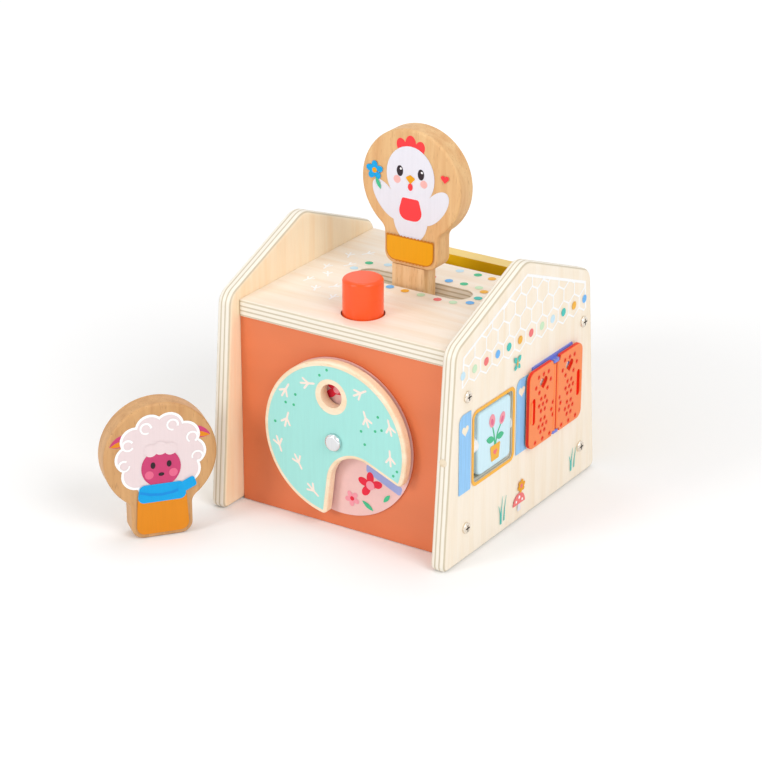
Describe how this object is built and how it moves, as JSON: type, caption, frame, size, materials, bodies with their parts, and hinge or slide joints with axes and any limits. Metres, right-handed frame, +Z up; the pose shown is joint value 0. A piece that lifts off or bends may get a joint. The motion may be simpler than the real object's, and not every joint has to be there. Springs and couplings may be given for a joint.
{
  "type": "pop up animal toy",
  "caption": "Gabled wooden play house with a push button that releases a sprung lifter, a flat figure in its roof slot, a turning disc, a flip tile and two small doors.",
  "frame": {"origin": "middle of the base panel's underside, on the floor", "axes": "+Z up, -Y towards the wall with the turning disc, +X towards the panel with the window and doors"},
  "size_m": [0.1837, 0.227, 0.2077],
  "materials": {
    "birch_plywood": "printed birch plywood, satin",
    "terracotta_plywood": "painted plywood, satin",
    "ochre_plywood": "painted plywood, satin",
    "mint_plywood": "printed plywood, satin",
    "printed_card": "printed laminate",
    "beech": "oiled beech",
    "painted_blank": "printed plywood, satin",
    "blue_tile_wood": "printed plywood, satin",
    "orange_plastic": "moulded, satin",
    "violet_plastic": "moulded, satin",
    "white_nylon": "moulded nylon",
    "orange_paint": "gloss paint on turned beech",
    "zinc_steel": "zinc plated",
    "chromed_steel": "polished",
    "spring_steel": "bright drawn wire"
  },
  "bodies": {
    "house": {"left_side_panel": "birch_plywood", "right_side_panel": "birch_plywood", "front_panel": "terracotta_plywood", "rear_panel": "ochre_plywood", "roof_deck": "birch_plywood", "base_panel": "birch_plywood", "storage_ledge": "beech", "left_panel_screws": "zinc_steel", "right_panel_screws": "zinc_steel", "picture_plate": "printed_card", "disc_washer": "white_nylon", "disc_axle": "chromed_steel", "axle_nut": "zinc_steel", "tile_axle": "zinc_steel", "axle_plug": "beech", "tile_spacers": "white_nylon", "door_frame": "violet_plastic", "door_picture": "printed_card", "door_pins": "zinc_steel", "button_guide": "beech", "button_spring": "spring_steel", "latch_bracket": "beech", "latch_pin": "zinc_steel", "guide_rods": "zinc_steel", "lift_springs": "spring_steel"},
    "disc": {"reveal_disc": "mint_plywood"},
    "tile": {"flip_tile": "blue_tile_wood"},
    "front_door": {"front_door_leaf": "orange_plastic"},
    "rear_door": {"rear_door_leaf": "orange_plastic"},
    "button": {"button_cap": "orange_paint", "button_flange": "beech", "button_stem": "beech"},
    "latch": {"latch_lever": "beech", "latch_weight": "zinc_steel"},
    "lifter": {"lifter_bar": "birch_plywood", "lifter_pad": "beech"},
    "raised_figure": {"popup_figure": "painted_blank"},
    "loose_figure": {"standing_figure": "painted_blank"}
  },
  "joints": [
    {"name": "disc_spin", "type": "hinge", "parent": "house", "child": "disc", "pos_m": [0, -0.068, 0.054], "axis": [0, 1, 0], "continuous": true},
    {"name": "tile_spin", "type": "hinge", "parent": "house", "child": "tile", "pos_m": [0.0705, -0.031, 0.0613], "axis": [0, 1, 0], "continuous": true},
    {"name": "front_door_hinge", "type": "hinge", "parent": "house", "child": "front_door", "pos_m": [0.0775, 0.0264, 0.063], "axis": [0, 0, 1], "range_deg": [0, 90]},
    {"name": "rear_door_hinge", "type": "hinge", "parent": "house", "child": "rear_door", "pos_m": [0.0775, 0.03, 0.063], "axis": [0, 0, -1], "range_deg": [0, 90]},
    {"name": "button_press", "type": "slide", "parent": "house", "child": "button", "axis": [0, 0, -1], "range_m": [0, 0.014], "stiffness_N_per_m": 120, "springref_m": -0.006, "deforming": ["button_spring"]},
    {"name": "latch_tilt", "type": "hinge", "parent": "house", "child": "latch", "pos_m": [0, 0.002, 0.014], "axis": [1, 0, 0], "range_deg": [0, 17.2]},
    {"name": "lifter_slide", "type": "slide", "parent": "house", "child": "lifter", "axis": [0, 0, -1], "range_m": [0, 0.066], "stiffness_N_per_m": 25, "springref_m": -0.08, "deforming": ["lift_springs"]},
    {"name": "raised_figure_lift", "type": "slide", "parent": "lifter", "child": "raised_figure", "axis": [0, 0, 1], "range_m": [0, 0.06]},
    {"name": "loose_figure_lift", "type": "slide", "parent": "house", "child": "loose_figure", "axis": [0, 0, 1], "range_m": [0, 0.06]}
  ],
  "couplings": [
    {"joint": "latch_tilt", "follows": "button_press", "rad_per_m": 21.4}
  ]
}
